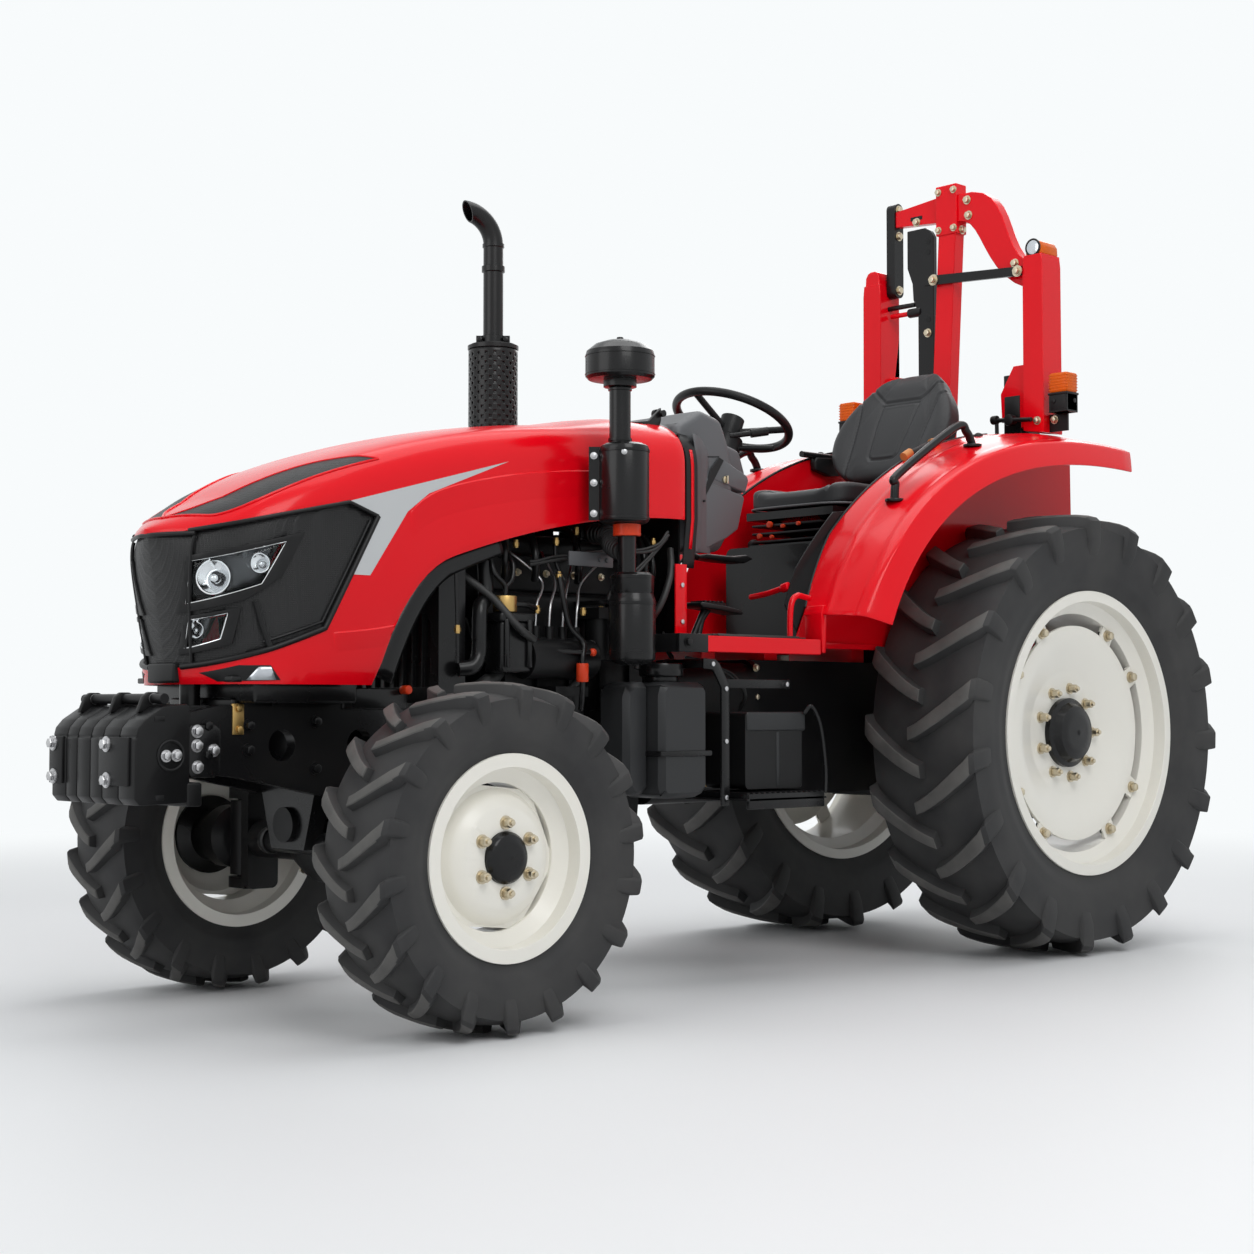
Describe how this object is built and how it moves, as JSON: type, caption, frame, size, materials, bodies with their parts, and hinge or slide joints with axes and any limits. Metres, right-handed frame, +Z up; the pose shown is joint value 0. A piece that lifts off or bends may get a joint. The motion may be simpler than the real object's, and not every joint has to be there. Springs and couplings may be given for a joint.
{
  "type": "farm tractor",
  "caption": "Open-platform four-wheel-drive farm tractor with lugged tyres, tilting hood, roll frame, front weights and a rear three-point hitch.",
  "frame": {"origin": "ground plane under the middle of the overall box", "axes": "+X forward, +Y to the tractor's left, +Z up"},
  "size_m": [4.2457, 1.474, 2.68],
  "materials": {
    "red_paint": "gloss",
    "black_paint": "satin",
    "iron": "satin",
    "black_plastic": "matte",
    "grey_plastic": "satin",
    "seat_leather": "satin",
    "amber_lens": "gloss",
    "lamp_glass": "clear",
    "cream_paint": "gloss",
    "rubber": "matte",
    "steel": "brushed"
  },
  "bodies": {
    "chassis": {"gear_case": "black_paint", "axle_trumpets": "black_paint", "engine": "iron", "engine_fittings": "iron", "radiator": "iron", "front_frame": "black_paint", "front_weights": "black_paint", "front_axle": "black_paint", "air_cleaner": "black_plastic", "exhaust": "black_paint", "bulkhead": "black_paint", "console": "grey_plastic", "steering_column": "black_plastic", "platform": "red_paint", "controls": "black_paint", "seat_base": "black_paint", "seat_cushion": "seat_leather", "seat_back": "seat_leather", "fender_left": "red_paint", "fender_right": "red_paint", "handrails": "black_paint", "post_feet": "black_paint", "roll_posts": "red_paint", "mast_post": "red_paint", "mast_arms": "red_paint", "mast_plate": "black_paint", "mast_links": "black_paint", "turn_lamps": "amber_lens", "lamp_brackets": "black_paint", "fuel_tank": "black_plastic", "battery_box": "black_paint", "tool_box": "black_paint", "drawbar": "black_paint", "pto_shaft": "steel"},
    "knuckle_left": {"knuckle_left": "black_paint"},
    "knuckle_right": {"knuckle_right": "black_paint"},
    "tie_rod": {"tie_rod": "steel"},
    "steering_wheel": {"steering_wheel": "black_plastic"},
    "hood": {"hood_shell": "red_paint", "grille": "black_plastic", "headlamps": "lamp_glass"},
    "lift_arms": {"lift_arms": "black_paint"},
    "lift_rods": {"lift_rods": "steel"},
    "lower_links": {"lower_links": "black_paint"},
    "front_wheel_left": {"front_tyre_left": "rubber", "front_rim_left": "cream_paint", "front_hub_left": "black_paint"},
    "front_wheel_right": {"front_tyre_right": "rubber", "front_rim_right": "cream_paint", "front_hub_right": "black_paint"},
    "rear_wheel_left": {"rear_tyre_left": "rubber", "rear_rim_left": "cream_paint", "rear_hub_left": "black_paint"},
    "rear_wheel_right": {"rear_tyre_right": "rubber", "rear_rim_right": "cream_paint", "rear_hub_right": "black_paint"}
  },
  "joints": [
    {"name": "steer_left", "type": "hinge", "parent": "chassis", "child": "knuckle_left", "pos_m": [1.38386, 0.47, 0.43], "axis": [0, 0, 1], "range_deg": [-32, 32]},
    {"name": "steer_right", "type": "hinge", "parent": "chassis", "child": "knuckle_right", "pos_m": [1.38386, -0.47, 0.43], "axis": [0, 0, 1], "range_deg": [-32, 32]},
    {"name": "tie_rod_pivot", "type": "hinge", "parent": "knuckle_left", "child": "tie_rod", "pos_m": [1.21386, 0.47, 0.394], "axis": [0, 0, 1], "range_deg": [-32, 32]},
    {"name": "steering_wheel_turn", "type": "hinge", "parent": "chassis", "child": "steering_wheel", "pos_m": [-0.12114, 0, 1.714], "axis": [-0.3955, 0, 0.9184], "range_deg": [-512, 512]},
    {"name": "front_left_spin", "type": "hinge", "parent": "knuckle_left", "child": "front_wheel_left", "pos_m": [1.38386, 0.596, 0.43], "axis": [0, 1, 0], "continuous": true},
    {"name": "front_right_spin", "type": "hinge", "parent": "knuckle_right", "child": "front_wheel_right", "pos_m": [1.38386, -0.596, 0.43], "axis": [0, 1, 0], "continuous": true},
    {"name": "rear_left_spin", "type": "hinge", "parent": "chassis", "child": "rear_wheel_left", "pos_m": [-1.07714, 0.526, 0.716], "axis": [0, 1, 0], "continuous": true},
    {"name": "rear_right_spin", "type": "hinge", "parent": "chassis", "child": "rear_wheel_right", "pos_m": [-1.07714, -0.526, 0.716], "axis": [0, 1, 0], "continuous": true},
    {"name": "hood_open", "type": "hinge", "parent": "chassis", "child": "hood", "pos_m": [0.36886, 0, 1.668], "axis": [0, -1, 0], "range_deg": [0, 50]},
    {"name": "lift_arm_raise", "type": "hinge", "parent": "chassis", "child": "lift_arms", "pos_m": [-1.22714, 0, 1.046], "axis": [0, 1, 0], "range_deg": [-8, 34]},
    {"name": "lower_link_raise", "type": "hinge", "parent": "chassis", "child": "lower_links", "pos_m": [-1.30714, 0, 0.454], "axis": [0, 1, 0], "range_deg": [-8, 34]},
    {"name": "lift_rod_swing", "type": "hinge", "parent": "lift_arms", "child": "lift_rods", "pos_m": [-1.55533, 0, 1.01151], "axis": [0, 1, 0], "range_deg": [-34, 8]}
  ],
  "couplings": [
    {"joint": "steer_right", "follows": "steer_left", "ratio": 1},
    {"joint": "tie_rod_pivot", "follows": "steer_left", "ratio": -1},
    {"joint": "steering_wheel_turn", "follows": "steer_left", "ratio": 16},
    {"joint": "lower_link_raise", "follows": "lift_arm_raise", "ratio": 1},
    {"joint": "lift_rod_swing", "follows": "lift_arm_raise", "ratio": -1}
  ]
}
